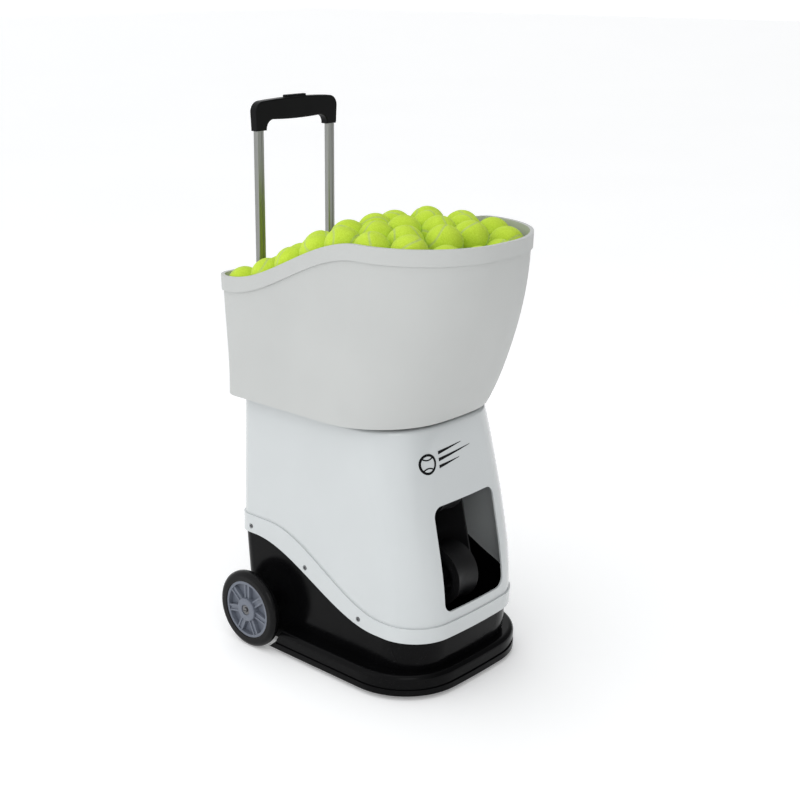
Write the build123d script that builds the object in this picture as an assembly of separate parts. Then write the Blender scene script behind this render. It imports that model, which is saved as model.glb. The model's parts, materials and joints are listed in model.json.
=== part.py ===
from build123d import *
import math
import os

# A wheeled tennis ball machine: a hopper sits on a two-part housing, a turning
# feed wheel drops one ball at a time down a chute, and two spinning wheels throw
# it out of the front window. Millimetres, +Z up, the front faces -Y, the ground
# is z = 0 and the machine is symmetric about x = 0.

os.makedirs("parts", exist_ok=True)

# ---------------------------------------------------------------- driving sizes
BALL_RADIUS = 33.5
HOPPER_BOW = 26.5
HOUSING_BOW = 10
WALL = 3.5
RUNNING = 0.05
GAP = 0.3

# Plan sections from the bottom up:
# height, half width, front y, rear y, front corner radius, rear corner radius,
# bow of the front.
LOWER_SECTIONS = [
    (10, 153.5, -205, 229, 84, 30, HOUSING_BOW),
    (60, 153.5, -208, 233, 84, 30, HOUSING_BOW),
    (120, 153.5, -213, 238, 83, 29, HOUSING_BOW),
    (200, 153.5, -211, 244, 80, 28, HOUSING_BOW),
    (300, 153.5, -195, 246, 76, 28, HOUSING_BOW),
]
UPPER_SECTIONS = [
    (80, 155, -213, 245, 84, 28, HOUSING_BOW),
    (150, 155, -217, 246, 80, 28, HOUSING_BOW),
    (222, 155, -210, 246, 77, 28, HOUSING_BOW),
    (309, 155, -193, 244, 76, 28, HOUSING_BOW),
    (390, 155, -178, 241, 86, 28, HOUSING_BOW),
    (486, 155, -160, 238, 106, 28, HOUSING_BOW),
]
HOPPER_SECTIONS = [
    (492, 187, -167, 254, 150, 38, HOPPER_BOW),
    (553, 186.5, -199, 254.5, 154, 38, HOPPER_BOW),
    (623, 186, -226.5, 258.5, 158, 36, HOPPER_BOW),
    (700, 185.5, -249, 263, 162, 34, HOPPER_BOW),
    (770, 185, -260.5, 265, 165, 33, HOPPER_BOW),
    (840, 184.5, -264.5, 266.5, 167, 32, HOPPER_BOW),
]

# Smooth steps in the side view: rear y, front y, rear height, front height.
RIM_STEP = (232, -94, 718, 820)
RIM_BAND = 28
RIM_PROUD = 3.5
SEAM_STEP = (198, -109, 211, 105)
BAND_STEP = (160, -125, 247, 134)
BAND_PROUD = 3.2
TONGUE_STEP = (150, -215, 290, 149)
SCREW_RISE = 13

HOUSING_TOP = 486
SHOULDER_RADIUS = 9
RECESS_HALF = 111
RECESS_CORNER = 5
RECESS_FLOOR = 221
TROUGH_HALF = 118
TROUGH_FLOOR = 226

WINDOW_HALF = 83
WINDOW_LOW = 153
WINDOW_HIGH = 345
WINDOW_RADIUS = 19

SKIRT_SECTION = (188.5, -227, 240, 124, 30, HOUSING_BOW)
SKIRT_BOTTOM = 9
SKIRT_TOP = 48
SKIRT_REAR = 150
ARCH_RADIUS = 80
SKIRT_GROOVE = (20, 28)
SKIRT_GROOVE_DEPTH = 2.5
PLATE_BOTTOM = 12
PLATE_TOP = 15

AXLE_Y = 178
TYRE_RADIUS = 75.6
HUB_RADIUS = 56
WHEEL_OUT = 205.8
WHEEL_WIDTH = 22
HUB_FACE = WHEEL_OUT - 1.8
BOSS_FACE = HUB_FACE + 4
BOSS_RADIUS = 23
AXLE_RADIUS = 8
SPOKES = 7

TUBE_X = 92.5
TUBE_Y = 239
TUBE_WIDE = 17
TUBE_DEEP = 12
SLEEVE_WALL = 2
SLEEVE_LOW = 60
SLEEVE_HIGH = 484
TUBE_LOW = 432
RAIL_BRACKETS = ((80, 100), (444, 464))
GRIP_LEG_BOTTOM = 974
GRIP_DEEP = 18
GRIP_HALF = 105.5
GRIP_LEG_IN = 78.5
BUTTON_HALF = 27
BUTTON_TRAVEL = 3
BUTTON_DEEP = 5

FEED_Y = 60
TRAY_RADIUS = 140
TRAY_FLOOR = 420
TRAY_SKIN = 3
STAR_LOW = TRAY_FLOOR + 8
STAR_HIGH = TRAY_FLOOR + 36
POCKETS = 5
POCKET_ORBIT = 100
POCKET_RADIUS = 37
CHUTE_RADIUS = 36.5
CHUTE_END_Y = -34
CHUTE_END_Z = 275
CHUTE_SLOPE = 9

PIVOT_Y = -38
PIVOT_Z = 275
LAUNCH_RADIUS = 55
LOWER_WHEEL = (-145, 187)
UPPER_WHEEL = (-108, 350)
LAUNCH_HALF_WIDTH = 28
SIDE_PLATE_IN = 46
SIDE_PLATE_SKIN = 3
ARM_IN = 52
ARM_SKIN = 3
SHAFT_RADIUS = 5
CROSSBARS = ((-50, 312), (-72, 226))

PANEL_HALF = 60
PANEL_LOW = 306
PANEL_HIGH = 414
KEY_RADIUS = 6
KEY_XS = (-42, -14, 14, 42)
KEY_Z = 352
BOARD_Y = 209
ROCKER_X = -34
ROCKER_Z = 322
ROCKER_Y = TROUGH_FLOOR + 1
ROCKER_TILT = 8


# --------------------------------------------------------------------- helpers
def box(x0, x1, y0, y1, z0, z1):
    """A box from its low and high faces."""
    centre = ((x0 + x1) / 2, (y0 + y1) / 2, (z0 + z1) / 2)
    return Pos(*centre) * Box(x1 - x0, y1 - y0, z1 - z0)


def rounded_box(x0, x1, y0, y1, z0, z1, radius, axis=Axis.Z):
    """A box with the edges along one axis rounded."""
    block = box(x0, x1, y0, y1, z0, z1)
    return fillet(block.edges().filter_by(axis), radius)


def disc(x, y, z0, z1, radius):
    """An upright cylinder between two heights."""
    return Pos(x, y, (z0 + z1) / 2) * Cylinder(radius, z1 - z0)


def rod_x(x0, x1, y, z, radius):
    """A cylinder along X between two planes."""
    return Pos((x0 + x1) / 2, y, z) * Rot(0, 90, 0) * Cylinder(radius, abs(x1 - x0))


def rod_y(x, y0, y1, z, radius):
    """A cylinder along Y between two planes."""
    return Pos(x, (y0 + y1) / 2, z) * Rot(90, 0, 0) * Cylinder(radius, abs(y1 - y0))


def plan(z, half_width, front, rear, front_radius, rear_radius, bow, offset=0.0):
    """A closed outline: straight back and sides, round corners, a bowed front."""
    sweep = (half_width**2 + bow**2) / (2 * bow)
    centre_y = front + sweep
    corner_x = half_width - front_radius
    corner_y = centre_y - math.sqrt((sweep - front_radius) ** 2 - corner_x**2)
    back_x = half_width - rear_radius
    back_y = rear - rear_radius
    turn = math.atan2(corner_y - centre_y, corner_x)
    big = sweep + offset
    front_r = front_radius + offset
    back_r = rear_radius + offset
    side = half_width + offset
    lean = back_r * math.sqrt(0.5)

    def front_corner(sign, angle):
        x = corner_x + front_r * math.cos(angle)
        return (sign * x, corner_y + front_r * math.sin(angle), z)

    def rear_corner(sign):
        return (sign * (back_x + lean), back_y + lean, z)

    edges = [
        Line((-back_x, rear + offset, z), (back_x, rear + offset, z)),
        ThreePointArc((back_x, rear + offset, z), rear_corner(1), (side, back_y, z)),
        Line((side, back_y, z), (side, corner_y, z)),
        ThreePointArc((side, corner_y, z), front_corner(1, turn / 2), front_corner(1, turn)),
        ThreePointArc(front_corner(1, turn), (0, centre_y - big, z), front_corner(-1, turn)),
        ThreePointArc(front_corner(-1, turn), front_corner(-1, turn / 2), (-side, corner_y, z)),
        Line((-side, corner_y, z), (-side, back_y, z)),
        ThreePointArc((-side, back_y, z), rear_corner(-1), (-back_x, rear + offset, z)),
    ]
    return Wire(edges)


def body(sections, offset=0.0):
    """A solid lofted through plan sections, grown outwards by offset."""
    return Solid.make_loft([plan(*section, offset) for section in sections])


def under_step(step, lift=0.0, bottom=-10):
    """Everything below a smooth step that runs along Y, as a wide slab."""
    rear_y, front_y, rear_z, front_z = step
    third = (front_y - rear_y) / 3
    far = 400
    low = rear_z + lift
    high = front_z + lift
    outline = [
        Line((0, far, bottom), (0, far, low)),
        Line((0, far, low), (0, rear_y, low)),
        Bezier(
            (0, rear_y, low), (0, rear_y + third, low), (0, front_y - third, high), (0, front_y, high)
        ),
        Line((0, front_y, high), (0, -far, high)),
        Line((0, -far, high), (0, -far, bottom)),
        Line((0, -far, bottom), (0, far, bottom)),
    ]
    face = Face(Wire(outline))
    return extrude(face, amount=far, dir=(1, 0, 0), both=True)


def step_height(step, y):
    """The height of a smooth step at y."""
    rear_y, front_y, rear_z, front_z = step
    share = min(1.0, max(0.0, (rear_y - y) / (rear_y - front_y)))
    return rear_z + (front_z - rear_z) * share**2 * (3 - 2 * share)


def one(shape):
    """The single solid of a result that should be one piece."""
    solids = shape.solids()
    return max(solids, key=lambda solid: solid.volume)


def save(shape, node):
    """Write one sub-part."""
    export_step(shape, f"parts/{node}.step")


def group(shapes):
    """Separate solids kept together as one node."""
    return Compound(children=[one(shape) for shape in shapes])


# --------------------------------------------------------------------- housing
def trough(floor, half, grow=0.0):
    """The rear channel that the handle tubes stand in, grown by a wall."""
    return box(-half - grow, half + grow, floor - grow, 320, -20, 900)


def side_screw_spots():
    """Where the side screws sit, on both sides."""
    spots = []
    for y in (211, 65, -71):
        for side in (-1, 1):
            spots.append((side, y, step_height(SEAM_STEP, y) + SCREW_RISE))
    return spots


def make_upper_housing():
    solid = body(UPPER_SECTIONS)
    cap = solid.faces().sort_by(Axis.Z)[-1]
    solid = fillet(cap.edges(), SHOULDER_RADIUS)
    band = body(UPPER_SECTIONS, BAND_PROUD) & under_step(BAND_STEP)
    solid = (solid + band) - trough(TROUGH_FLOOR, TROUGH_HALF)
    hollow = body(UPPER_SECTIONS, -WALL) & box(-300, 300, -300, 300, 0, HOUSING_TOP - WALL)
    hollow = hollow - trough(TROUGH_FLOOR, TROUGH_HALF, WALL)
    shell = solid - hollow - under_step(SEAM_STEP)
    shell = shell - disc(0, FEED_Y, 470, 500, TRAY_RADIUS + TRAY_SKIN + 1)
    window = rounded_box(
        -WINDOW_HALF, WINDOW_HALF, -320, -140, WINDOW_LOW, WINDOW_HIGH, WINDOW_RADIUS, Axis.Y
    )
    shell = shell - window
    shell = shell - box(-PANEL_HALF, PANEL_HALF, 200, 300, PANEL_LOW, PANEL_HIGH)
    for side, y, z in side_screw_spots():
        shell = shell - rod_x(side * 140, side * 170, y, z, 2.2)
        shell = shell - rod_x(side * 156.4, side * 170, y, z, 5.2)
    return one(shell)


def make_lower_housing():
    below = under_step(SEAM_STEP, -GAP, 10)
    outside = (body(LOWER_SECTIONS) & below) - trough(TROUGH_FLOOR, TROUGH_HALF)
    inside = body(LOWER_SECTIONS, -WALL - 1) - trough(TROUGH_FLOOR, TROUGH_HALF, WALL + 1)
    shell = outside - inside
    tongue = body(UPPER_SECTIONS, -WALL - GAP) - trough(TROUGH_FLOOR, TROUGH_HALF, WALL + GAP)
    core = body(UPPER_SECTIONS, -2 * WALL) - trough(TROUGH_FLOOR, TROUGH_HALF, 2 * WALL)
    lip = (tongue - core) & under_step(TONGUE_STEP, 0, 90)
    lip = lip - under_step(SEAM_STEP, -12)
    shell = shell + lip
    for side, y, z in side_screw_spots():
        shell = shell - rod_x(side * 140, side * 170, y, z, 1.9)
    shell = shell - rod_x(-170, 170, AXLE_Y, TYRE_RADIUS, AXLE_RADIUS + 0.2)
    return one(shell)


def make_skirt():
    wide = (SKIRT_BOTTOM, *SKIRT_SECTION)
    outline = Face(plan(*wide))
    solid = extrude(outline, amount=SKIRT_TOP - SKIRT_BOTTOM, dir=(0, 0, 1))
    solid = fillet(solid.faces().sort_by(Axis.Z)[-1].edges(), 10)
    groove = extrude(Face(plan(*wide, 5)), amount=SKIRT_GROOVE[1] - SKIRT_GROOVE[0], dir=(0, 0, 1))
    kept = extrude(Face(plan(*wide, -SKIRT_GROOVE_DEPTH)), amount=60, dir=(0, 0, 1))
    groove = Pos(0, 0, SKIRT_GROOVE[0] - SKIRT_BOTTOM) * (groove - kept)
    solid = solid - groove
    inside = extrude(Face(plan(*wide, -WALL - 2)), amount=SKIRT_TOP - SKIRT_BOTTOM - 4, dir=(0, 0, 1))
    inside = Pos(0, 0, -1) * inside
    inside = inside - rod_x(-300, 300, AXLE_Y, TYRE_RADIUS, ARCH_RADIUS + 4)
    solid = solid - (inside - box(-300, 300, SKIRT_REAR, 300, -20, 100))
    solid = solid - rod_x(-300, 300, AXLE_Y, TYRE_RADIUS, ARCH_RADIUS)
    solid = solid - box(-300, 300, SKIRT_REAR, 300, -20, 100)
    solid = solid - body(LOWER_SECTIONS, GAP)
    solid = solid - extrude(Face(plan(*LOWER_SECTIONS[0], GAP)), amount=-10, dir=(0, 0, 1))
    return one(solid)


def make_base_plate():
    inner = (PLATE_BOTTOM, *LOWER_SECTIONS[0][1:])
    plate = extrude(Face(plan(*inner, -WALL - 2)), amount=PLATE_TOP - PLATE_BOTTOM, dir=(0, 0, 1))
    plate = plate - trough(TROUGH_FLOOR, TROUGH_HALF, WALL + 2)
    for side in (-1, 1):
        plate = plate - disc(side * 120, -150, 0, 30, 3.2)
    return one(plate)


def make_foot(side):
    pad = disc(side * 120, -150, 0, PLATE_BOTTOM, 17)
    pad = chamfer(pad.faces().sort_by(Axis.Z)[0].edges(), 2)
    pin = disc(side * 120, -150, PLATE_BOTTOM - 1, PLATE_TOP + 4, 3)
    return pad + pin


def make_side_screw(side, y, z):
    """A pan-head screw with a cross slot, sunk into the band."""
    head = rod_x(side * 156.5, side * 158.6, y, z, 3.9)
    head = fillet(head.faces().sort_by(Axis.X)[-1 if side > 0 else 0].edges(), 1.2)
    shank = rod_x(side * 146, side * 157, y, z, 1.8)
    screw = head + shank
    screw = screw - box(side * 158 - 0.9, side * 158 + 0.9, y - 2.4, y + 2.4, z - 0.5, z + 0.5)
    screw = screw - box(side * 158 - 0.9, side * 158 + 0.9, y - 0.5, y + 0.5, z - 2.4, z + 2.4)
    return screw


# ---------------------------------------------------------------------- hopper
def make_hopper_shell():
    solid = body(HOPPER_SECTIONS)
    band = body(HOPPER_SECTIONS, RIM_PROUD) - under_step(RIM_STEP, -RIM_BAND)
    solid = (solid + band) & under_step(RIM_STEP, 0)
    recess = rounded_box(-RECESS_HALF, RECESS_HALF, RECESS_FLOOR, 400, 400, 900, RECESS_CORNER)
    solid = solid - recess
    grown = rounded_box(
        -RECESS_HALF - WALL, RECESS_HALF + WALL, RECESS_FLOOR - WALL, 400,
        400, 900, RECESS_CORNER + WALL,
    )
    hollow = body(HOPPER_SECTIONS, -WALL) - grown
    low = body([(480, *HOPPER_SECTIONS[0][1:]), HOPPER_SECTIONS[0]], -WALL) - grown
    return one(solid - hollow - low)


def make_hopper_funnel():
    """A dished floor that leads the balls to the round throat."""
    throat = TRAY_RADIUS
    rise = math.tan(math.radians(24))
    reach = 340
    profile = Polyline(
        (throat, 0, 489),
        (throat + 4, 0, 489),
        (throat + 4, 0, 493),
        (reach, 0, 493 + (reach - throat - 4) * rise),
        (reach, 0, 497 + (reach - throat) * rise),
        (throat, 0, 497),
        close=True,
    )
    dish = Pos(0, FEED_Y, 0) * revolve(make_face(profile), Axis.Z)
    recess = box(-RECESS_HALF - WALL, RECESS_HALF + WALL, RECESS_FLOOR - WALL, 400, 400, 900)
    room = body(HOPPER_SECTIONS, -WALL - 0.1) - recess
    skirt = extrude(Face(plan(*HOPPER_SECTIONS[0], -WALL - 0.1)), amount=-6, dir=(0, 0, 1))
    return one(dish & (room + skirt))


# ------------------------------------------------------------- feeding the ball
def make_feed_tray():
    outer = disc(0, FEED_Y, TRAY_FLOOR - TRAY_SKIN, HOUSING_TOP + 3, TRAY_RADIUS + TRAY_SKIN)
    flange = disc(0, FEED_Y, HOUSING_TOP, HOUSING_TOP + 3, TRAY_RADIUS + 10)
    tray = outer + flange - disc(0, FEED_Y, TRAY_FLOOR, 600, TRAY_RADIUS)
    tray = tray - disc(0, FEED_Y + POCKET_ORBIT, 400, 500, POCKET_RADIUS - 0.5)
    tray = tray - disc(0, FEED_Y, 400, 500, SHAFT_RADIUS + 0.5)
    return one(tray)


def make_feed_wheel():
    """A star with a round-bottomed notch for each ball, open to the tray wall."""
    star = disc(0, FEED_Y, STAR_LOW, STAR_HIGH, TRAY_RADIUS - 2)
    reach = TRAY_RADIUS + 10
    for index in range(POCKETS):
        notch = box(POCKET_ORBIT, reach, -POCKET_RADIUS, POCKET_RADIUS, STAR_LOW - 5, STAR_HIGH + 5)
        notch = notch + disc(POCKET_ORBIT, 0, STAR_LOW - 5, STAR_HIGH + 5, POCKET_RADIUS)
        star = star - Pos(0, FEED_Y, 0) * Rot(0, 0, 90 + 360 * index / POCKETS) * notch
    return one(star - disc(0, FEED_Y, STAR_LOW - 5, STAR_HIGH + 5, SHAFT_RADIUS))


def make_feed_cap():
    """The cone in the middle of the feed wheel, which turns balls outwards."""
    base = STAR_HIGH
    cone = Pos(0, FEED_Y, base + 11) * Cone(46, 12, 22)
    cone = cone - disc(0, FEED_Y, base - 1, base + 12, SHAFT_RADIUS + 0.2)
    return fillet(cone.faces().sort_by(Axis.Z)[-1].edges(), 5)


def make_feed_motor():
    top = TRAY_FLOOR - TRAY_SKIN
    gearbox = rounded_box(-29, 29, FEED_Y - 29, FEED_Y + 29, top - 40, top, 6)
    can = rod_x(-95, -28, FEED_Y, top - 20, 17)
    tail = rod_x(-101, -94, FEED_Y, top - 20, 6)
    motor = gearbox + can + tail
    return one(motor - disc(0, FEED_Y, top - 36, top + 5, SHAFT_RADIUS + RUNNING))


def chute_body(radius, end_y, top):
    """The drop pipe and the sloping pipe that runs forward from it, mitred at the knee."""
    drop_y = FEED_Y + POCKET_ORBIT
    rise = math.tan(math.radians(CHUTE_SLOPE))
    knee_z = CHUTE_END_Z + (drop_y - CHUTE_END_Y) * rise
    far_y = end_y - 40
    far_z = knee_z - (drop_y - far_y) * rise
    path = Polyline((0, drop_y, top), (0, drop_y, knee_z), (0, far_y, far_z))
    ring = Plane(origin=(0, drop_y, top), z_dir=(0, 0, -1)) * Circle(radius)
    pipe = sweep(ring, path=path, transition=Transition.RIGHT)
    return pipe - box(-90, 90, end_y - 90, end_y, 100, 500)


def make_drop_chute():
    top = TRAY_FLOOR - TRAY_SKIN
    outer = chute_body(CHUTE_RADIUS + 3, CHUTE_END_Y, top - 0.1)
    inner = chute_body(CHUTE_RADIUS, CHUTE_END_Y - 20, top + 20)
    return one(outer - inner)


# ---------------------------------------------------------------- launching head
def make_side_plate(side):
    circles = []
    for (y, z), radius in ((LOWER_WHEEL, 25), (UPPER_WHEEL, 25), ((PIVOT_Y, PIVOT_Z), 22)):
        circles.append(Pos(y, z) * CenterArc((0, 0), radius, 0, 360))
    outline = make_hull(circles)
    plane = Plane(origin=(side * SIDE_PLATE_IN, 0, 0), x_dir=(0, 1, 0), z_dir=(1, 0, 0))
    plate = extrude(plane * outline, amount=side * SIDE_PLATE_SKIN)
    x0 = side * (SIDE_PLATE_IN - 5)
    x1 = side * (SIDE_PLATE_IN + 10)
    for y, z in (LOWER_WHEEL, UPPER_WHEEL):
        plate = plate - rod_x(x0, x1, y, z, SHAFT_RADIUS + 4)
    plate = plate - rod_x(x0, x1, PIVOT_Y, PIVOT_Z, 6)
    for y, z in CROSSBARS:
        plate = plate - rod_x(x0, x1, y, z, 3)
    return one(plate)


def make_crossbar(y, z):
    bar = rod_x(-SIDE_PLATE_IN, SIDE_PLATE_IN, y, z, 5)
    ends = rod_x(-SIDE_PLATE_IN - 5, SIDE_PLATE_IN + 5, y, z, 2.95)
    return bar + ends


def make_bearing(side, centre):
    """A flanged bush that carries a launch shaft in its side plate."""
    y, z = centre
    x_in = side * (SIDE_PLATE_IN - 3)
    bush = rod_x(x_in, side * (SIDE_PLATE_IN + SIDE_PLATE_SKIN), y, z, SHAFT_RADIUS + 3.95)
    flange = rod_x(x_in, side * SIDE_PLATE_IN, y, z, SHAFT_RADIUS + 8)
    return bush + flange - rod_x(side * 30, side * 60, y, z, SHAFT_RADIUS + RUNNING)


def make_launch_motor(centre):
    y, z = centre
    face = -(SIDE_PLATE_IN + SIDE_PLATE_SKIN)
    can = rod_x(face - 46, face, y, z, 22)
    can = chamfer(can.faces().sort_by(Axis.X)[0].edges(), 2)
    tail = rod_x(face - 50, face - 45, y, z, 8)
    return one(can + tail - rod_x(face - 30, face + 1, y, z, SHAFT_RADIUS + RUNNING))


def make_launch_hub(centre):
    """A dished wheel: rim, web with round holes and a long boss."""
    y, z = centre
    half = LAUNCH_HALF_WIDTH
    hub = rod_x(-half, half, y, z, 44)
    for side in (-1, 1):
        dish = rod_x(side * 6, side * (half + 1), y, z, 38) - rod_x(side * 5, side * (half + 2), y, z, 13)
        hub = hub - dish
    for index in range(6):
        angle = math.radians(60 * index)
        hole_y = y + 25.5 * math.cos(angle)
        hole_z = z + 25.5 * math.sin(angle)
        hub = hub - rod_x(-10, 10, hole_y, hole_z, 7)
    return one(hub - rod_x(-60, 60, y, z, SHAFT_RADIUS))


def make_launch_tread(centre):
    """The rubber ring, hollowed in the middle to hold the ball."""
    y, z = centre
    half = LAUNCH_HALF_WIDTH - 1
    crown = 3.5
    outline = Polyline((-half, 44), (half, 44), (half, LAUNCH_RADIUS))
    hollow = ThreePointArc((half, LAUNCH_RADIUS), (0, LAUNCH_RADIUS - crown), (-half, LAUNCH_RADIUS))
    close = Line((-half, LAUNCH_RADIUS), (-half, 44))
    face = make_face(Wire([*outline.edges(), hollow, close]))
    ring = revolve(face, Axis.X)
    return Pos(0, y, z) * ring


def make_launch_shaft(centre):
    y, z = centre
    return rod_x(-(SIDE_PLATE_IN + SIDE_PLATE_SKIN + 28), SIDE_PLATE_IN + 6, y, z, SHAFT_RADIUS)


def make_pan_frame():
    """A turntable disc with two upright arms that hold the launching head."""
    disc_low = 76
    frame = disc(0, PIVOT_Y, disc_low, disc_low + 5, 64)
    frame = frame + disc(0, PIVOT_Y, disc_low, disc_low + 18, 14)
    for side in (-1, 1):
        arm = box(0, ARM_SKIN, PIVOT_Y - 22, PIVOT_Y + 22, disc_low, PIVOT_Z)
        arm = arm + rod_x(0, ARM_SKIN, PIVOT_Y, PIVOT_Z, 22)
        arm = Pos(ARM_IN if side > 0 else -ARM_IN - ARM_SKIN, 0, 0) * arm
        frame = frame + arm
        frame = frame - rod_x(side * 40, side * 70, PIVOT_Y, PIVOT_Z, 6 + RUNNING)
    return one(frame - disc(0, PIVOT_Y, 60, 120, SHAFT_RADIUS + RUNNING))


def make_pivot_pin(side):
    """A shouldered pin, fast in the side plate and turning in the arm."""
    pin = rod_x(side * SIDE_PLATE_IN, side * (ARM_IN + ARM_SKIN + 4), PIVOT_Y, PIVOT_Z, 6)
    collar = rod_x(side * (SIDE_PLATE_IN + SIDE_PLATE_SKIN), side * (ARM_IN - GAP), PIVOT_Y, PIVOT_Z, 10)
    return pin + collar


def make_tilt_motor():
    """A geared motor on the arm, coaxial with the tilting axis."""
    x0 = ARM_IN + ARM_SKIN
    case = rounded_box(x0, x0 + 22, PIVOT_Y - 20, PIVOT_Y + 20, PIVOT_Z - 48, PIVOT_Z + 18, 6, Axis.X)
    can = disc(x0 + 14, PIVOT_Y, PIVOT_Z - 100, PIVOT_Z - 48, 14)
    motor = case + can
    return one(motor - rod_x(x0 - 1, x0 + 6, PIVOT_Y, PIVOT_Z, 6 + RUNNING))


def make_pan_motor():
    can = disc(0, PIVOT_Y, PLATE_TOP, 60, 27)
    can = chamfer(can.faces().sort_by(Axis.Z)[-1].edges(), 2)
    flange = disc(0, PIVOT_Y, PLATE_TOP, PLATE_TOP + 4, 34)
    return one(can + flange + disc(0, PIVOT_Y, 59, 92, SHAFT_RADIUS))


def make_turntable_ring():
    """The fixed ring under the turntable disc, on three legs."""
    ring = disc(0, PIVOT_Y, 66, 76 - GAP, 66) - disc(0, PIVOT_Y, 60, 80, 46)
    for index in range(3):
        angle = math.radians(30 + 120 * index)
        x = 56 * math.cos(angle)
        y = PIVOT_Y + 56 * math.sin(angle)
        ring = ring + disc(x, y, PLATE_TOP, 70, 8)
    return one(ring)


# ---------------------------------------------------------------- power and control
def make_battery():
    case = rounded_box(-75.5, 75.5, 36, 134, PLATE_TOP, PLATE_TOP + 94, 4)
    lid = rounded_box(-73, 73, 38.5, 131.5, PLATE_TOP + 93, PLATE_TOP + 98, 3)
    pack = case + lid
    for x in (-62, 62):
        pack = pack + box(x - 4, x + 4, 118, 124, PLATE_TOP + 97, PLATE_TOP + 104)
    return one(pack)


def make_battery_strap():
    skin = 1.5
    height = PLATE_TOP + 98
    strap = box(-80 - skin, 80 + skin, 75, 95, PLATE_TOP, height + skin)
    strap = strap - box(-80, 80, 70, 100, PLATE_TOP - 1, height)
    for side in (-1, 1):
        strap = strap + box(*sorted((side * 80, side * 100)), 75, 95, PLATE_TOP, PLATE_TOP + skin)
    return one(strap)


def make_control_board():
    face = BOARD_Y
    board = box(-54, 54, face, face + 2, 300, 416)
    chips = ((-30, 330, 14, 14, 3), (20, 340, 18, 12, 3), (-20, 385, 30, 10, 6), (30, 390, 12, 16, 7))
    for x, z, half_x, half_z, tall in chips:
        board = board + box(x - half_x, x + half_x, face - tall, face, z - half_z, z + half_z)
    for x in (-10, 4):
        board = board + rod_y(x, face - 8, face, 360, 5)
    return one(board)


def make_standoff(x, z):
    return rod_y(x, BOARD_Y + 2, 218, z, 4)


def make_control_panel():
    """The rear panel: a flanged plate with a frame behind it."""
    low = PANEL_LOW
    high = PANEL_HIGH
    plate = rounded_box(
        -PANEL_HALF - 6, PANEL_HALF + 6, TROUGH_FLOOR, TROUGH_FLOOR + 3, low - 6, high + 6, 8, Axis.Y
    )
    plug = box(-PANEL_HALF + GAP, PANEL_HALF - GAP, 218, TROUGH_FLOOR, low + GAP, high - GAP)
    inside = box(-PANEL_HALF + 8, PANEL_HALF - 8, 217, TROUGH_FLOOR, low + 8, high - 8)
    panel = plate + (plug - inside)
    for x in KEY_XS:
        panel = panel - rod_y(x, 210, 240, KEY_Z, KEY_RADIUS + GAP)
    panel = panel - box(-34, 34, 210, 240, 372, 402)
    switch_half = 11 + GAP
    panel = panel - box(
        ROCKER_X - switch_half, ROCKER_X + switch_half, 210, 240, ROCKER_Z - 8 - GAP, ROCKER_Z + 8 + GAP
    )
    panel = panel - rod_y(6, 210, 240, 322, 7)
    panel = panel - rod_y(40, 210, 240, 322, 4)
    return one(panel)


def make_display():
    pane = box(-34, 34, TROUGH_FLOOR, TROUGH_FLOOR + 2.4, 372, 402)
    return pane + box(-38, 38, TROUGH_FLOOR - 4, TROUGH_FLOOR, 368, 406)


def make_charge_socket():
    ring = rod_y(6, TROUGH_FLOOR - 9, TROUGH_FLOOR + 3.6, 322, 6.9)
    ring = ring + rod_y(6, TROUGH_FLOOR + 3.1, TROUGH_FLOOR + 4.6, 322, 9)
    ring = ring - rod_y(6, TROUGH_FLOOR - 5, TROUGH_FLOOR + 6, 322, 4.2)
    return one(ring + rod_y(6, TROUGH_FLOOR - 7, TROUGH_FLOOR + 2, 322, 1.2))


def make_antenna():
    base = rod_y(40, TROUGH_FLOOR - 6, TROUGH_FLOOR + 3.2, 322, 3.9)
    nut = rod_y(40, TROUGH_FLOOR + 3.1, TROUGH_FLOOR + 8, 322, 6.5)
    stub = rod_y(40, TROUGH_FLOOR + 7, TROUGH_FLOOR + 32, 322, 4.5)
    stub = fillet(stub.faces().sort_by(Axis.Y)[-1].edges(), 3)
    return one(base + nut + stub)


def make_switch_frame():
    """The fixed bezel and box round the rocker."""
    half_x = 11
    half_z = 8
    left = ROCKER_X - half_x
    right = ROCKER_X + half_x
    case = box(left, right, ROCKER_Y - 15, ROCKER_Y + 2, ROCKER_Z - half_z, ROCKER_Z + half_z)
    rim = box(left - 2, right + 2, ROCKER_Y + 2, ROCKER_Y + 4, ROCKER_Z - 10, ROCKER_Z + 10)
    case = case + rim
    case = case - box(left + 2, right - 2, ROCKER_Y - 10, ROCKER_Y + 8, ROCKER_Z - 7, ROCKER_Z + 7)
    return one(case - rod_x(left + 0.5, right - 0.5, ROCKER_Y, ROCKER_Z, 1.2 + RUNNING))


def make_rocker():
    """The rocking key of the power switch with its cross pin, at rest pushed off."""
    half_x = 8.6
    outline = Polyline((-3, -5.2), (7, -5.4), (4.2, 0), (7, 5.4), (-3, 5.2), close=True)
    plane = Plane(origin=(-half_x, 0, 0), x_dir=(0, 1, 0), z_dir=(1, 0, 0))
    key = extrude(plane * make_face(outline), amount=2 * half_x)
    key = key + rod_x(-half_x - 1.4, half_x + 1.4, 0, 0, 1.2)
    return Pos(ROCKER_X, ROCKER_Y, ROCKER_Z) * Rot(-ROCKER_TILT, 0, 0) * one(key)


def make_key(x):
    cap = rod_y(x, TROUGH_FLOOR - 2, TROUGH_FLOOR + 6, KEY_Z, KEY_RADIUS)
    cap = fillet(cap.faces().sort_by(Axis.Y)[-1].edges(), 1.5)
    collar = rod_y(x, TROUGH_FLOOR - 3.5, TROUGH_FLOOR - 1.8, KEY_Z, KEY_RADIUS + 1.8)
    return cap + collar


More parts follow.
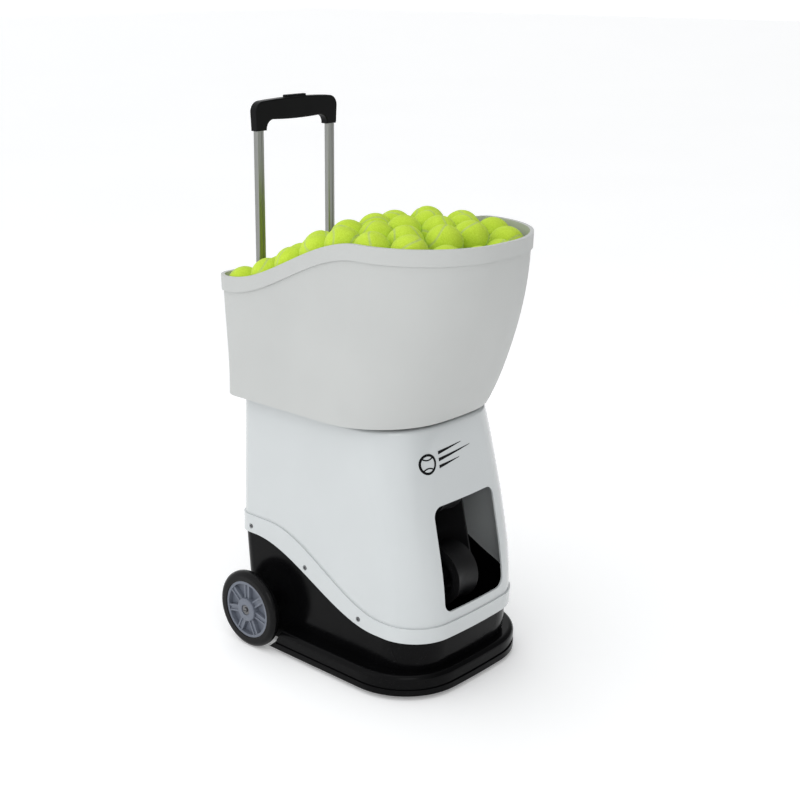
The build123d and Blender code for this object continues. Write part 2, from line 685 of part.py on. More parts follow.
# ------------------------------------------------------------------------ wheels
def make_tyre(side):
    half = WHEEL_WIDTH / 2
    round_off = 10
    section = Pos(0, (TYRE_RADIUS + HUB_RADIUS) / 2) * Rectangle(WHEEL_WIDTH, TYRE_RADIUS - HUB_RADIUS)
    section = fillet(section.vertices().group_by(Axis.Y)[-1], round_off)
    section = fillet(section.vertices().group_by(Axis.Y)[0], 2)
    ring = revolve(section, Axis.X)
    return Pos(side * (WHEEL_OUT - half), AXLE_Y, TYRE_RADIUS) * ring


def make_hub(side):
    """A moulded hub: rim, closed web, seven double-ridged spokes and a proud boss."""
    back = WHEEL_OUT - WHEEL_WIDTH + 1.8
    web = HUB_FACE - 9
    hub = rod_x(back, HUB_FACE, 0, 0, HUB_RADIUS)
    hub = hub - rod_x(web, HUB_FACE + 1, 0, 0, HUB_RADIUS - 5)
    hub = hub - rod_x(back - 1, web - 4, 0, 0, HUB_RADIUS - 5)
    boss = rod_x(back - 1.5, BOSS_FACE, 0, 0, BOSS_RADIUS)
    hub = hub + fillet(boss.faces().sort_by(Axis.X)[-1].edges(), 2.5)
    for index in range(SPOKES):
        spoke = box(web - 1, HUB_FACE - 3, -7, 7, 10, HUB_RADIUS - 3)
        for ridge in (-5, 5):
            spoke = spoke + box(web - 1, HUB_FACE - 0.8, ridge - 1.6, ridge + 1.6, 10, HUB_RADIUS - 3)
        hub = hub + Rot(360 * index / SPOKES, 0, 0) * spoke
    hub = hub - rod_x(back - 5, BOSS_FACE + 5, 0, 0, AXLE_RADIUS + RUNNING)
    hub = hub - rod_x(BOSS_FACE - 3, BOSS_FACE + 5, 0, 0, 10.5)
    hub = one(hub)
    if side < 0:
        hub = hub.mirror(Plane.YZ)
    return Pos(0, AXLE_Y, TYRE_RADIUS) * hub


def make_axle():
    reach = BOSS_FACE - 3 + GAP
    return rod_x(-reach, reach, AXLE_Y, TYRE_RADIUS, AXLE_RADIUS)


def make_axle_screw(side):
    """The domed end screw with its washer, inside the hub's counterbore."""
    start = BOSS_FACE - 3 + GAP
    washer = rod_x(side * start, side * (start + 1.5), AXLE_Y, TYRE_RADIUS, 9)
    head = rod_x(side * (start + 1.5), side * (start + 5), AXLE_Y, TYRE_RADIUS, 5)
    head = fillet(head.faces().sort_by(Axis.X)[-1 if side > 0 else 0].edges(), 2)
    slot_x = side * (start + 5)
    slot = box(slot_x - 1.2, slot_x + 1.2, AXLE_Y - 8, AXLE_Y + 8, TYRE_RADIUS - 0.7, TYRE_RADIUS + 0.7)
    return one(washer + head - slot)


def make_axle_spacer(side):
    inner = 153.5 + GAP
    outer = WHEEL_OUT - WHEEL_WIDTH
    tube = rod_x(side * inner, side * outer, AXLE_Y, TYRE_RADIUS, 13)
    return tube - rod_x(side * 150, side * 190, AXLE_Y, TYRE_RADIUS, AXLE_RADIUS)


def make_axle_clamp(side):
    """A saddle block that bolts the axle down to the base plate."""
    x = side * 120
    block = box(x - 10, x + 10, AXLE_Y - 24, AXLE_Y + 24, PLATE_TOP, 30)
    post = box(x - 8, x + 8, AXLE_Y - 14, AXLE_Y + 14, 28, TYRE_RADIUS)
    cap = rod_x(x - 8, x + 8, AXLE_Y, TYRE_RADIUS, 14)
    return one(block + post + cap - rod_x(x - 20, x + 20, AXLE_Y, TYRE_RADIUS, AXLE_RADIUS))


# ------------------------------------------------------------------------ handle
def rail(side, wide, deep, z0, z1, radius):
    x = side * TUBE_X
    return rounded_box(
        x - wide / 2, x + wide / 2, TUBE_Y - deep / 2, TUBE_Y + deep / 2, z0, z1, radius
    )


def make_sleeve(side):
    clear = 0.8
    inner = rail(side, TUBE_WIDE + clear, TUBE_DEEP + clear, SLEEVE_LOW + 3, 600, 3)
    wide = TUBE_WIDE + clear + 2 * SLEEVE_WALL
    deep = TUBE_DEEP + clear + 2 * SLEEVE_WALL
    return one(rail(side, wide, deep, SLEEVE_LOW, SLEEVE_HIGH, 4) - inner)


def make_collar(side):
    """The plastic guide on top of a sleeve."""
    clear = 0.4
    outer = rail(side, TUBE_WIDE + 11, TUBE_DEEP + 11, SLEEVE_HIGH - 8, SLEEVE_HIGH + 8, 5)
    bore = rail(side, TUBE_WIDE + clear, TUBE_DEEP + clear, 300, 700, 3)
    wide = TUBE_WIDE + 0.8 + 2 * SLEEVE_WALL
    deep = TUBE_DEEP + 0.8 + 2 * SLEEVE_WALL
    seat = rail(side, wide, deep, 300, SLEEVE_HIGH, 4)
    return one(outer - bore - seat)


def make_rail_bracket(z0, z1):
    """A cross bar that clamps both sleeves to the back of the housing."""
    half = TUBE_X + 17
    bar = box(-half, half, TROUGH_FLOOR, TUBE_Y + 12, z0, z1)
    bar = bar - box(-TUBE_X + 17, TUBE_X - 17, TROUGH_FLOOR + 4, 300, z0 - 1, z1 + 1)
    wide = TUBE_WIDE + 0.8 + 2 * SLEEVE_WALL
    deep = TUBE_DEEP + 0.8 + 2 * SLEEVE_WALL
    for side in (-1, 1):
        bar = bar - rail(side, wide, deep, 0, 600, 4)
    bar = fillet(bar.faces().sort_by(Axis.Y)[-1].edges().filter_by(Axis.Z), 2)
    return one(bar)


def make_handle_tube(side):
    """An aluminium tube with a shallow groove down its broad faces."""
    skin = 1.5
    top = GRIP_LEG_BOTTOM + 22
    tube = rail(side, TUBE_WIDE, TUBE_DEEP, TUBE_LOW, top, 2.5)
    tube = tube - rail(side, TUBE_WIDE - 2 * skin, TUBE_DEEP - 2 * skin, TUBE_LOW - 1, top + 1, 1.2)
    x = side * TUBE_X
    for face in (-1, 1):
        y = TUBE_Y + face * TUBE_DEEP / 2
        tube = tube - box(x - 2, x + 2, y - 0.7, y + 0.7, TUBE_LOW - 1, top + 1)
    return one(tube)


def make_grip():
    """The moulded cross grip: two square legs and a gently bowed bar."""
    foot = GRIP_LEG_BOTTOM
    half = GRIP_HALF
    leg_in = GRIP_LEG_IN
    outline = [
        Line((-leg_in, foot), (-half + 2, foot)),
        Line((-half + 2, foot), (-half, foot + 34)),
        ThreePointArc((-half, foot + 34), (-half + 5.5, foot + 48), (-half + 19, foot + 54)),
        ThreePointArc((-half + 19, foot + 54), (0, foot + 57), (half - 19, foot + 54)),
        ThreePointArc((half - 19, foot + 54), (half - 5.5, foot + 48), (half, foot + 34)),
        Line((half, foot + 34), (half - 2, foot)),
        Line((half - 2, foot), (leg_in, foot)),
        ThreePointArc((leg_in, foot), (leg_in - 4, foot + 13), (leg_in - 17, foot + 19)),
        ThreePointArc((leg_in - 17, foot + 19), (0, foot + 17), (17 - leg_in, foot + 19)),
        ThreePointArc((17 - leg_in, foot + 19), (4 - leg_in, foot + 13), (-leg_in, foot)),
    ]
    plane = Plane(origin=(0, TUBE_Y + GRIP_DEEP / 2, 0), x_dir=(1, 0, 0), z_dir=(0, -1, 0))
    bar = extrude(plane * make_face(Wire(outline)), amount=GRIP_DEEP)
    long_edges = bar.edges().filter_by(Axis.Y, reverse=True)
    bar = fillet(long_edges, 2.4)
    reach_x = BUTTON_HALF + GAP
    reach_y = BUTTON_DEEP + GAP
    pocket = rounded_box(
        -reach_x, reach_x, TUBE_Y - reach_y, TUBE_Y + reach_y, foot + 40, foot + 80, 3
    )
    bar = bar - pocket
    for side in (-1, 1):
        bar = bar - rail(side, TUBE_WIDE, TUBE_DEEP, foot - 5, foot + 22, 2.5)
    return one(bar)


def make_release_button():
    low = GRIP_LEG_BOTTOM + 40 + BUTTON_TRAVEL + 1
    top = GRIP_LEG_BOTTOM + 61
    button = rounded_box(
        -BUTTON_HALF, BUTTON_HALF, TUBE_Y - BUTTON_DEEP, TUBE_Y + BUTTON_DEEP, low, top, 3
    )
    return fillet(button.faces().sort_by(Axis.Z)[-1].edges(), 1.5)


# ------------------------------------------------------------------------- build
def side_name(side):
    return "left" if side < 0 else "right"


save(make_upper_housing(), "upper_housing")
save(make_lower_housing(), "lower_housing")
save(make_skirt(), "bumper_skirt")
save(make_base_plate(), "base_plate")
save(group([make_foot(side) for side in (-1, 1)]), "front_feet")
save(group([make_side_screw(*spot) for spot in side_screw_spots()]), "housing_screws")

save(make_hopper_shell(), "hopper_shell")
save(make_hopper_funnel(), "hopper_funnel")

save(make_feed_tray(), "feed_tray")
save(make_feed_wheel(), "feed_wheel")
save(make_feed_cap(), "feed_wheel_cap")
save(disc(0, FEED_Y, TRAY_FLOOR - TRAY_SKIN - 34, STAR_HIGH + 10, SHAFT_RADIUS), "feed_shaft")
save(make_feed_motor(), "feed_motor")
save(make_drop_chute(), "drop_chute")

save(make_pan_frame(), "pan_frame")
save(make_pan_motor(), "pan_motor")
save(make_turntable_ring(), "turntable_ring")
save(make_tilt_motor(), "tilt_motor")
save(group([make_pivot_pin(side) for side in (-1, 1)]), "tilt_pivot_pins")
save(group([make_crossbar(*spot) for spot in CROSSBARS]), "head_crossbars")
bearings = [make_bearing(side, spot) for side in (-1, 1) for spot in (LOWER_WHEEL, UPPER_WHEEL)]
save(group(bearings), "head_bearings")
for side in (-1, 1):
    save(make_side_plate(side), f"head_plate_{side_name(side)}")
for level, centre in (("lower", LOWER_WHEEL), ("upper", UPPER_WHEEL)):
    save(make_launch_motor(centre), f"{level}_launch_motor")
    save(make_launch_hub(centre), f"{level}_launch_hub")
    save(make_launch_tread(centre), f"{level}_launch_tread")
    save(make_launch_shaft(centre), f"{level}_launch_shaft")

save(make_battery(), "battery_pack")
save(make_battery_strap(), "battery_strap")
save(make_control_board(), "control_board")
standoffs = [make_standoff(x, z) for x in (-50, 50) for z in (310, 408)]
save(group(standoffs), "board_standoffs")
save(make_control_panel(), "control_panel")
save(make_display(), "display_window")
save(make_charge_socket(), "charge_socket")
save(make_antenna(), "antenna")
save(make_switch_frame(), "switch_frame")
save(make_rocker(), "power_rocker")
for index, x in enumerate(KEY_XS):
    save(make_key(x), f"panel_key_{index + 1}")

save(make_axle(), "wheel_axle")
save(group([make_axle_screw(side) for side in (-1, 1)]), "axle_end_screws")
save(group([make_axle_spacer(side) for side in (-1, 1)]), "axle_spacers")
save(group([make_axle_clamp(side) for side in (-1, 1)]), "axle_clamps")
for side in (-1, 1):
    save(make_tyre(side), f"tyre_{side_name(side)}")
    save(make_hub(side), f"wheel_hub_{side_name(side)}")
    save(make_handle_tube(side), f"handle_tube_{side_name(side)}")
save(group([make_collar(side) for side in (-1, 1)]), "sleeve_collars")
save(group([make_sleeve(side) for side in (-1, 1)]), "handle_sleeves")
save(group([make_rail_bracket(*span) for span in RAIL_BRACKETS]), "rail_brackets")
save(make_grip(), "handle_grip")
save(make_release_button(), "release_button")
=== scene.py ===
import json
import math
import random

import bmesh
import bpy
import numpy as np
from mathutils import Matrix, Vector, noise


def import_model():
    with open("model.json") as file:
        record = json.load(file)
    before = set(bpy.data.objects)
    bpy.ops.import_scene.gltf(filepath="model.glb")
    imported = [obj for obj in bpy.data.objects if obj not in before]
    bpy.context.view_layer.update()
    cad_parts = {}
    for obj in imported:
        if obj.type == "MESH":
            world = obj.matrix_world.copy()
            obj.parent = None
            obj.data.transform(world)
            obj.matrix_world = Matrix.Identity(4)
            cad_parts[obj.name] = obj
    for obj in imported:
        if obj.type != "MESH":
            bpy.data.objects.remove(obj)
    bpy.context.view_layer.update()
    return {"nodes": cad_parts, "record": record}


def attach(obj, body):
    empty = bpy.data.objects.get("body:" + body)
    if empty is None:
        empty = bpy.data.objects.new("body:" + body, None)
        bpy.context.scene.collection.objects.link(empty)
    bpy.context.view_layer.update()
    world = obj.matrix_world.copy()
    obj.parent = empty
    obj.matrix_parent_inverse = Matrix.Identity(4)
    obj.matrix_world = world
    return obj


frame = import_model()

# A tennis ball machine. Metres, +Z up, the front faces -Y, the ground is z = 0.
MM = 0.001
BALL_RADIUS = 33.5 * MM


# ------------------------------------------------------------------- materials
class Shader:
    """A small helper that builds one procedural material."""

    def __init__(self, name):
        self.mat = bpy.data.materials.new(name)
        self.mat.use_nodes = True
        self.tree = self.mat.node_tree
        self.bsdf = self.tree.nodes["Principled BSDF"]
        self.coords = self.node("ShaderNodeTexCoord").outputs["Object"]

    def node(self, kind, **settings):
        made = self.tree.nodes.new(kind)
        for key, value in settings.items():
            setattr(made, key, value)
        return made

    def link(self, a, b):
        self.tree.links.new(a, b)

    def set(self, **values):
        """Uniform values go straight on the shader's own sockets."""
        for key, value in values.items():
            self.bsdf.inputs[key.replace("_", " ")].default_value = value

    def stretched(self, scale):
        mapping = self.node("ShaderNodeMapping")
        mapping.inputs["Scale"].default_value = scale
        self.link(self.coords, mapping.inputs["Vector"])
        return mapping.outputs["Vector"]

    def noise(self, scale, detail=4.0, rough=0.5, stretch=None):
        tex = self.node("ShaderNodeTexNoise")
        tex.inputs["Scale"].default_value = scale
        tex.inputs["Detail"].default_value = detail
        tex.inputs["Roughness"].default_value = rough
        self.link(self.stretched(stretch) if stretch else self.coords, tex.inputs["Vector"])
        return tex.outputs["Fac"]

    def ramp(self, source, low, high, start=0.3, end=0.7):
        """Maps a field between two colours or two grey values."""
        ramp = self.node("ShaderNodeValToRGB")
        ramp.color_ramp.elements[0].position = start
        ramp.color_ramp.elements[1].position = end
        pairs = ((ramp.color_ramp.elements[0], low), (ramp.color_ramp.elements[1], high))
        for element, value in pairs:
            element.color = (*value, 1) if isinstance(value, tuple) else (value, value, value, 1)
        self.link(source, ramp.inputs["Fac"])
        return ramp.outputs["Color"]

    def bump(self, source, strength, distance):
        bump = self.node("ShaderNodeBump")
        bump.inputs["Strength"].default_value = strength
        bump.inputs["Distance"].default_value = distance
        self.link(source, bump.inputs["Height"])
        self.link(bump.outputs["Normal"], self.bsdf.inputs["Normal"])
        return bump


def scaled(colour, factor):
    return tuple(min(1.0, value * factor) for value in colour)


def plastic(
    name, colour, rough, coat=0.0, grain=900, grain_depth=0.00004, mottle=0.04, strength=0.25, shine=0.5
):
    """Moulded plastic: faint colour mottling, uneven gloss and a fine skin."""
    s = Shader(name)
    soft = s.noise(7, 3)
    s.link(s.ramp(soft, scaled(colour, 1 - mottle), scaled(colour, 1 + mottle)), s.bsdf.inputs["Base Color"])
    s.link(s.ramp(s.noise(28, 5), rough[0], rough[1]), s.bsdf.inputs["Roughness"])
    s.bump(s.noise(grain, 3), strength, grain_depth)
    s.set(Coat_Weight=coat, Coat_Roughness=0.06, Specular_IOR_Level=shine)
    return s.mat


def metal(name, colour, rough, stretch, grain=500, mottle=0.06):
    """Bare metal with drawn or turned lines along one direction."""
    s = Shader(name)
    lines = s.noise(grain, 4, 0.6, stretch)
    s.link(s.ramp(lines, scaled(colour, 1 - mottle), scaled(colour, 1 + mottle)), s.bsdf.inputs["Base Color"])
    s.link(s.ramp(lines, rough[0], rough[1]), s.bsdf.inputs["Roughness"])
    s.bump(lines, 0.15, 0.00003)
    s.set(Metallic=1.0)
    return s.mat


def painted_steel(name, colour, rough):
    """Powder coat: a pebbled skin with small changes of gloss."""
    s = Shader(name)
    s.link(s.ramp(s.noise(12, 4), scaled(colour, 0.85), scaled(colour, 1.2)), s.bsdf.inputs["Base Color"])
    s.link(s.ramp(s.noise(60, 4), rough[0], rough[1]), s.bsdf.inputs["Roughness"])
    s.bump(s.noise(700, 2), 0.35, 0.00008)
    return s.mat


def rubber(name, colour, rough, grain=400, shine=0.5):
    """Rubber: dusty patches over a fine matt skin."""
    s = Shader(name)
    s.link(s.ramp(s.noise(20, 6), scaled(colour, 0.8), scaled(colour, 1.5)), s.bsdf.inputs["Base Color"])
    s.link(s.ramp(s.noise(45, 5), rough[0], rough[1]), s.bsdf.inputs["Roughness"])
    s.bump(s.noise(grain, 4), 0.3, 0.00008)
    s.set(Specular_IOR_Level=shine)
    return s.mat


def circuit_board():
    """Green solder mask with lighter tracks and darker fields."""
    s = Shader("circuit_board")
    cells = s.node("ShaderNodeTexVoronoi", feature="DISTANCE_TO_EDGE")
    cells.inputs["Scale"].default_value = 90
    s.link(s.coords, cells.inputs["Vector"])
    tracks = s.ramp(cells.outputs["Distance"], (0.05, 0.30, 0.14), (0.012, 0.12, 0.05), 0.04, 0.10)
    s.link(tracks, s.bsdf.inputs["Base Color"])
    s.link(s.ramp(s.noise(120), 0.25, 0.45), s.bsdf.inputs["Roughness"])
    s.bump(cells.outputs["Distance"], 0.2, 0.0001)
    return s.mat


def smoked_display():
    """A dark smoked pane with a dim segment-like glow field behind it."""
    s = Shader("smoked_display")
    s.link(s.ramp(s.noise(15), (0.010, 0.014, 0.018), (0.022, 0.030, 0.036)), s.bsdf.inputs["Base Color"])
    s.link(s.ramp(s.noise(60), 0.05, 0.12), s.bsdf.inputs["Roughness"])
    s.set(Coat_Weight=0.6, Coat_Roughness=0.03)
    return s.mat


def felt():
    """Tennis ball felt and seam: the mesh's seam attribute says where the rubber line is."""
    s = Shader("ball_felt")
    fuzz = s.noise(430, 6, 0.75)
    patches = s.noise(55, 4, 0.6)
    wool = s.ramp(patches, (0.46, 0.64, 0.022), (0.58, 0.78, 0.055), 0.25, 0.75)
    tips = s.ramp(fuzz, (0.35, 0.50, 0.014), (0.70, 0.90, 0.13), 0.3, 0.72)
    mix = s.node("ShaderNodeMix", data_type="RGBA")
    mix.inputs["Factor"].default_value = 0.45
    s.link(wool, mix.inputs["A"])
    s.link(tips, mix.inputs["B"])
    seam = s.node("ShaderNodeAttribute", attribute_name="seam")
    wobble = s.node("ShaderNodeMath", operation="MULTIPLY_ADD")
    s.link(fuzz, wobble.inputs[0])
    wobble.inputs[1].default_value = 0.0016
    s.link(seam.outputs["Fac"], wobble.inputs[2])
    mask = s.ramp(wobble.outputs["Value"], 1.0, 0.0, 0.0022, 0.0031)
    both = s.node("ShaderNodeMix", data_type="RGBA")
    s.link(mask, both.inputs["Factor"])
    s.link(mix.outputs["Result"], both.inputs["A"])
    pale = s.ramp(s.noise(200, 3), (0.34, 0.44, 0.16), (0.48, 0.57, 0.27))
    s.link(pale, both.inputs["B"])
    s.link(both.outputs["Result"], s.bsdf.inputs["Base Color"])
    s.link(s.ramp(fuzz, 0.85, 1.0), s.bsdf.inputs["Roughness"])
    s.bump(fuzz, 0.55, 0.0012)
    s.set(Sheen_Weight=0.25, Sheen_Roughness=0.45, Specular_IOR_Level=0.15)
    s.bsdf.inputs["Sheen Tint"].default_value = (0.85, 1.0, 0.45, 1)
    return s.mat


GLOSS_WHITE = (0.56, 0.585, 0.59)
SATIN_WHITE = (0.50, 0.51, 0.50)
finishes = {
    "housing_white": plastic(
        "housing_white", GLOSS_WHITE, (0.10, 0.20), coat=0.5, grain=260, mottle=0.015, strength=0.12
    ),
    "hopper_white": plastic("hopper_white", SATIN_WHITE, (0.40, 0.52), grain=1100, mottle=0.02),
    "base_black": plastic(
        "base_black", (0.0025, 0.0025, 0.0028), (0.12, 0.22), grain=220, mottle=0.2, strength=0.1, shine=0.08
    ),
    "inner_black": plastic("inner_black", (0.006, 0.006, 0.007), (0.38, 0.55), mottle=0.25, shine=0.25),
    "plate_steel": painted_steel("plate_steel", (0.03, 0.03, 0.032), (0.4, 0.55)),
    "bracket_steel": painted_steel("bracket_steel", (0.010, 0.010, 0.011), (0.35, 0.5)),
    "foot_rubber": rubber("foot_rubber", (0.02, 0.02, 0.02), (0.6, 0.8)),
    "screw_chrome": metal("screw_chrome", (0.16, 0.16, 0.165), (0.12, 0.26), (1, 1, 1), 900),
    "shaft_steel": metal("shaft_steel", (0.56, 0.57, 0.58), (0.22, 0.38), (6, 1, 1)),
    "motor_metal": metal("motor_metal", (0.30, 0.31, 0.33), (0.28, 0.45), (1, 1, 4)),
    "battery_plastic": plastic("battery_plastic", (0.04, 0.05, 0.07), (0.45, 0.6)),
    "board_green": circuit_board(),
    "display_glass": smoked_display(),
    "key_plastic": plastic("key_plastic", (0.28, 0.30, 0.33), (0.45, 0.6)),
    "tyre_black": rubber("tyre_black", (0.003, 0.003, 0.0033), (0.16, 0.28), 300, shine=0.14),
    "hub_grey": plastic("hub_grey", (0.135, 0.150, 0.185), (0.34, 0.46), grain=700, mottle=0.05, shine=0.4),
    "tube_aluminium": metal("tube_aluminium", (0.30, 0.305, 0.29), (0.28, 0.42), (1, 1, 0.02), 700),
    "grip_black": plastic(
        "grip_black", (0.004, 0.004, 0.0045), (0.32, 0.44), grain=1300, mottle=0.2, strength=0.4, shine=0.09
    ),
    "tread_rubber": rubber("tread_rubber", (0.005, 0.005, 0.0055), (0.42, 0.6), 250, shine=0.3),
}

for entry in frame["record"]["subparts"]:
    node = frame["nodes"][entry["node"]]
    node.data.materials.clear()
    node.data.materials.append(finishes[entry["material_slot"]])


# ----------------------------------------------------------------- tennis balls
def seam_points(count=240):
    """The seam of a tennis ball as points on the unit sphere."""
    a, b = 0.72, 0.28
    c = 2 * math.sqrt(a * b)
    points = []
    for index in range(count):
        t = 2 * math.pi * index / count
        x = a * math.cos(t) + b * math.cos(3 * t)
        y = a * math.sin(t) - b * math.sin(3 * t)
        points.append((x, y, c * math.sin(2 * t)))
    return np.array(points)


def ball_mesh(cells=20):
    """A ball made from a subdivided cube, with its seam pressed into the felt."""
    bm = bmesh.new()
    bmesh.ops.create_cube(bm, size=2)
    bmesh.ops.subdivide_edges(bm, edges=bm.edges[:], cuts=cells - 1, use_grid_fill=True)
    co = np.array([v.co for v in bm.verts])
    x2, y2, z2 = (co[:, i] ** 2 for i in range(3))
    round_x = co[:, 0] * np.sqrt(1 - y2 / 2 - z2 / 2 + y2 * z2 / 3)
    round_y = co[:, 1] * np.sqrt(1 - z2 / 2 - x2 / 2 + z2 * x2 / 3)
    round_z = co[:, 2] * np.sqrt(1 - x2 / 2 - y2 / 2 + x2 * y2 / 3)
    unit = np.stack([round_x, round_y, round_z], 1)
    unit /= np.linalg.norm(unit, axis=1)[:, None]
    line = seam_points()
    away = np.arccos(np.clip(unit @ line.T, -1, 1)).min(1) * BALL_RADIUS
    groove = 0.0007 * np.exp(-((away / 0.0024) ** 2))
    nap = np.array([noise.noise(Vector(p) * 9) for p in unit]) * 0.00018
    final = unit * (BALL_RADIUS - groove + np.minimum(nap, 0))[:, None]
    for vert, point in zip(bm.verts, final):
        vert.co = point
    mesh = bpy.data.meshes.new("tennis_ball")
    bm.to_mesh(mesh)
    bm.free()
    mesh.attributes.new("seam", "FLOAT", "POINT").data.foreach_set("value", away.astype(np.float32))
    mesh.polygons.foreach_set("use_smooth", [True] * len(mesh.polygons))
    return mesh


# The hopper's inner wall at three heights: height, half width, front y, corner radius.
HOPPER_WALL = ((0.553, 0.183, -0.1955, 0.151), (0.700, 0.182, -0.2455, 0.158), (0.830, 0.181, -0.2600, 0.163))
# Balls that sit in the two rear corners beside the handle's recess, and along the left wall.
CORNER_BALLS = [(x, 0.2235, z) for x in (-0.1482, 0.1482) for z in (0.698, 0.632)]
CORNER_BALLS += [(-0.1470, 0.160, 0.7225), (-0.1470, 0.097, 0.752), (-0.1470, 0.033, 0.782)]
WALL_GAP = 0.0012
HOPPER_REAR = 0.2175
FRONT_BOW = 0.0265


def wall_at(z):
    """Half width, front y and corner radius of the hopper's inside at a height."""
    levels = [row[0] for row in HOPPER_WALL]
    return [float(np.interp(z, levels, [row[k] for row in HOPPER_WALL])) for k in (1, 2, 3)]


def smooth_step(share):
    share = min(1.0, max(0.0, share))
    return share * share * (3 - 2 * share)


def heap_height(x, y):
    """Where the tops of the heaped balls lie: low at the back, crowned towards the front."""
    along = smooth_step((0.25 - y) / 0.27)
    top = 0.726 + 0.106 * along
    top += 0.010 * math.cos(math.pi * x / 0.36)
    top -= 0.048 * smooth_step((-0.15 - y) / 0.11)
    top -= 0.014 * smooth_step((x - 0.04) / 0.14) * smooth_step((0.02 - y) / 0.2)
    return top


def keep_inside(point):
    """Pushes a ball's centre back inside the hopper's wall."""
    x, y, z = point
    half, front, corner = wall_at(z)
    room = BALL_RADIUS + WALL_GAP
    y = min(y, HOPPER_REAR - room)
    x = min(half - room, max(-half + room, x))
    corner_x = half - corner
    corner_y = front + corner + 0.003
    if y < corner_y:
        side = 1 if x > 0 else -1
        over = max(0.0, abs(x) - corner_x)
        reach = corner - room
        far = math.hypot(over, corner_y - y)
        if over > 0 and far > reach:
            x = side * (corner_x + over * reach / far)
            y = corner_y - (corner_y - y) * reach / far
        bow = FRONT_BOW * (x / half) ** 2 * 0.35
        y = max(y, front + bow + room)
    return x, y, z


HEAP_STEPS = 900
LIFT_STEPS = 600


def heap_of_balls(count=104, layers=0.105):
    """Deterministic relaxation of spheres between a floor and the heap's surface."""
    rng = random.Random(11)
    centres = []
    for _ in range(count):
        y = rng.uniform(-0.21, 0.18)
        x = rng.uniform(-0.15, 0.15)
        centres.append((x, y, heap_height(x, y) - BALL_RADIUS - rng.uniform(0, layers)))
    centres = np.array(CORNER_BALLS + centres)
    fixed = len(CORNER_BALLS)
    apart = 2 * BALL_RADIUS - 0.0004
    for step in range(HEAP_STEPS):
        delta = centres[:, None] - centres[None]
        far = np.linalg.norm(delta, axis=2) + 1e-9
        push = np.clip(apart - far, 0, None)
        np.fill_diagonal(push, 0)
        centres += 0.5 * (delta / far[..., None] * push[..., None]).sum(1) * 0.85
        lift = 0.0011 if step < LIFT_STEPS else 0.0
        centres[:fixed] = CORNER_BALLS
        for i, (x, y, z) in enumerate(centres[fixed:], fixed):
            top = heap_height(x, y) - BALL_RADIUS
            z = min(z + lift, top + 0.002)
            z = max(z, top - layers)
            centres[i] = keep_inside((x, y, z))
    return centres


def add_balls():
    mesh = ball_mesh()
    mesh.materials.append(felt())
    rng = random.Random(5)
    for index, centre in enumerate(heap_of_balls()):
        ball = bpy.data.objects.new(f"tennis_ball_{index:03d}", mesh)
        bpy.context.scene.collection.objects.link(ball)
        ball.rotation_euler = [rng.uniform(0, 2 * math.pi) for _ in range(3)]
        ball.location = centre
        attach(ball, "hopper")


add_balls()


# ------------------------------------------------------------------ printed mark
def strip(bm, low, high):
    """A band of quads between two matching rows of (x, z) points."""
    rows = [[bm.verts.new((x, 0, z)) for x, z in row] for row in (low, high)]
    for i in range(len(low) - 1):
        bm.faces.new((rows[0][i], rows[0][i + 1], rows[1][i + 1], rows[1][i]))


MARK_CENTRE = (-0.082, 0.424)
MARK_THICK = 0.0004
MARK_CLEAR = Vector((0, -0.00025, 0.00005))


def printed_mark():
    """A generic flying ball, a ring with three streaks, printed on the front."""
    bm = bmesh.new()
    centre_x, centre_z = MARK_CENTRE
    turns = [2 * math.pi * i / 48 for i in range(49)]
    rings = (0.0140, 0.0185)
    strip(bm, *([(centre_x + r * math.cos(t), centre_z + r * math.sin(t)) for t in turns] for r in rings))
    for side in (-1, 1):
        bends = [math.radians(side * 90 + a) for a in np.linspace(-42, 42, 15)]
        hub_z = centre_z - side * 0.0250
        rows = [
            [(centre_x + r * math.cos(t), hub_z + r * math.sin(t)) for t in bends] for r in (0.0165, 0.0190)
        ]
        strip(bm, *rows)
    for level, reach in ((0.0125, 0.062), (0.0, 0.086), (-0.0125, 0.054)):
        xs = np.linspace(centre_x + 0.026, centre_x + 0.026 + reach, 24)
        share = np.linspace(0, 1, 24)
        z = centre_z + level + 0.10 * (xs - centre_x)
        half = 0.0030 * (1 - 0.85 * share)
        strip(bm, list(zip(xs, z - half)), list(zip(xs, z + half)))
    housing = frame["nodes"]["upper_housing"]
    inward = housing.matrix_world.inverted()
    for vert in bm.verts:
        start = inward @ Vector((vert.co.x, -0.40, vert.co.z))
        hit, place, _, _ = housing.ray_cast(start, inward.to_3x3() @ Vector((0, 1, 0)))
        if hit:
            vert.co = housing.matrix_world @ place + MARK_CLEAR
    bmesh.ops.remove_doubles(bm, verts=bm.verts[:], dist=1e-6)
    bmesh.ops.recalc_face_normals(bm, faces=bm.faces[:])
    bmesh.ops.solidify(bm, geom=bm.faces[:], thickness=MARK_THICK)
    mesh = bpy.data.meshes.new("printed_mark")
    bm.to_mesh(mesh)
    bm.free()
    mesh.materials.append(finishes["grip_black"])
    piece = bpy.data.objects.new("printed_mark", mesh)
    bpy.context.scene.collection.objects.link(piece)
    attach(piece, "chassis")


printed_mark()


# ------------------------------------------------------------ camera and lights
def aim(location, bearing, pitch):
    """An object matrix that looks along a compass bearing from +Y and a pitch below level."""
    turn = Matrix.Rotation(-bearing, 4, "Z") @ Matrix.Rotation(math.pi / 2 - pitch, 4, "X")
    return Matrix.Translation(location) @ turn


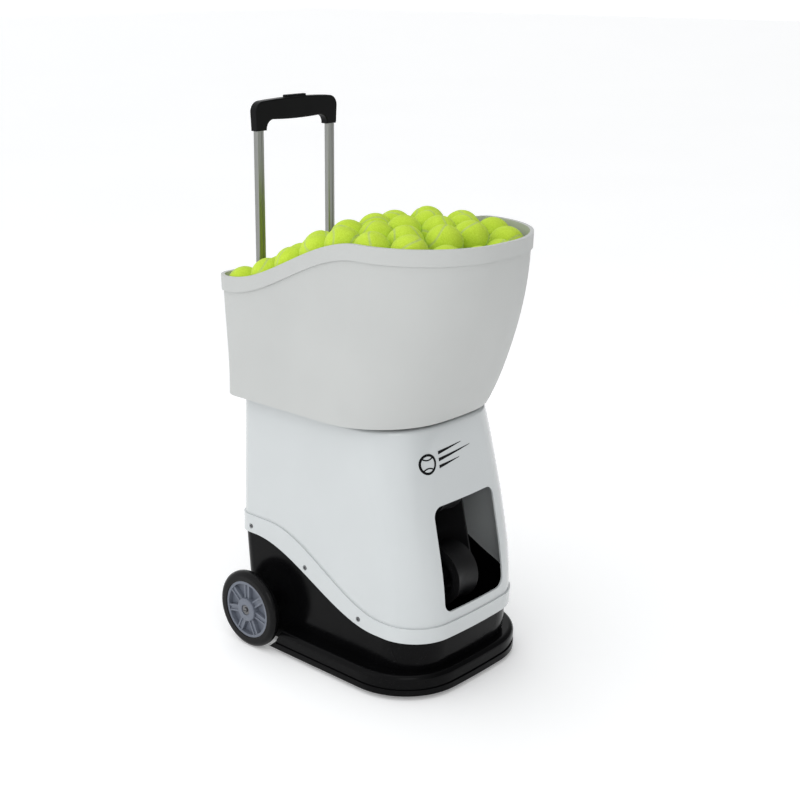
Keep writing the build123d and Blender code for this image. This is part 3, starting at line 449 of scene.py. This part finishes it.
camera_data = bpy.data.cameras.new("camera")
camera = bpy.data.objects.new("camera", camera_data)
bpy.context.scene.collection.objects.link(camera)
camera_data.sensor_width = 36
camera_data.lens = 62.69
camera_data.shift_x = 0.0452
camera_data.shift_y = -0.0676
CAMERA_PLACE = (-1.8381, -1.6518, 1.2660)
BEARING_DEG = 47.01
PITCH_DEG = 15.27
camera.matrix_world = aim(CAMERA_PLACE, math.radians(BEARING_DEG), math.radians(PITCH_DEG))
bpy.context.scene.camera = camera


def area_light(name, location, target, size, power):
    data = bpy.data.lights.new(name, "AREA")
    data.shape = "RECTANGLE"
    data.size, data.size_y = size
    data.energy = power
    light = bpy.data.objects.new(name, data)
    bpy.context.scene.collection.objects.link(light)
    light.location = location
    direction = Vector(target) - Vector(location)
    light.rotation_mode = "QUATERNION"
    light.rotation_quaternion = direction.to_track_quat("-Z", "Y")


area_light("key_light", (-2.6, -2.9, 2.7), (0, -0.1, 0.45), (2.0, 2.0), 20)
area_light("side_light", (-3.4, 0.9, 2.0), (0, 0, 0.45), (2.0, 2.4), 5)
area_light("top_light", (-0.3, -0.2, 3.6), (0, 0, 0.5), (2.4, 2.4), 9)


LIT_SIDE = 1.10
DIM_SIDE = 0.22
BACKDROP = 1.15
FLOOR_HALF = 30


def world():
    """A white studio that is darker on the machine's far side, towards +X and the front."""
    made = bpy.data.worlds.new("studio")
    made.use_nodes = True
    tree = made.node_tree
    background = tree.nodes["Background"]
    background.inputs["Color"].default_value = (0.98, 0.99, 1.0, 1)
    coords = tree.nodes.new("ShaderNodeTexCoord")
    facing = tree.nodes.new("ShaderNodeVectorMath")
    facing.operation = "DOT_PRODUCT"
    facing.inputs[1].default_value = (0.80, -0.60, 0.0)
    tree.links.new(coords.outputs["Generated"], facing.inputs[0])
    fade = tree.nodes.new("ShaderNodeMapRange")
    fade.interpolation_type = "SMOOTHSTEP"
    span = {"From Min": -0.05, "From Max": 0.75, "To Min": LIT_SIDE, "To Max": DIM_SIDE}
    for key, value in span.items():
        fade.inputs[key].default_value = value
    tree.links.new(facing.outputs["Value"], fade.inputs["Value"])
    path = tree.nodes.new("ShaderNodeLightPath")
    seen = tree.nodes.new("ShaderNodeMix")
    tree.links.new(path.outputs["Is Camera Ray"], seen.inputs["Factor"])
    tree.links.new(fade.outputs["Result"], seen.inputs["A"])
    seen.inputs["B"].default_value = BACKDROP
    tree.links.new(seen.outputs["Result"], background.inputs["Strength"])
    bpy.context.scene.world = made


def floor():
    mesh = bpy.data.meshes.new("floor")
    bm = bmesh.new()
    bmesh.ops.create_grid(bm, x_segments=8, y_segments=8, size=FLOOR_HALF)
    bm.to_mesh(mesh)
    bm.free()
    s = Shader("studio_floor")
    s.link(s.ramp(s.noise(0.8, 2), (0.965, 0.965, 0.965), (0.98, 0.98, 0.98)), s.bsdf.inputs["Base Color"])
    s.link(s.ramp(s.noise(3, 2), 0.65, 0.75), s.bsdf.inputs["Roughness"])
    s.set(Specular_IOR_Level=0.1, Emission_Strength=0.17)
    mesh.materials.append(s.mat)
    sheet = bpy.data.objects.new("floor", mesh)
    bpy.context.scene.collection.objects.link(sheet)


world()
floor()
bpy.context.scene.view_settings.view_transform = "Standard"
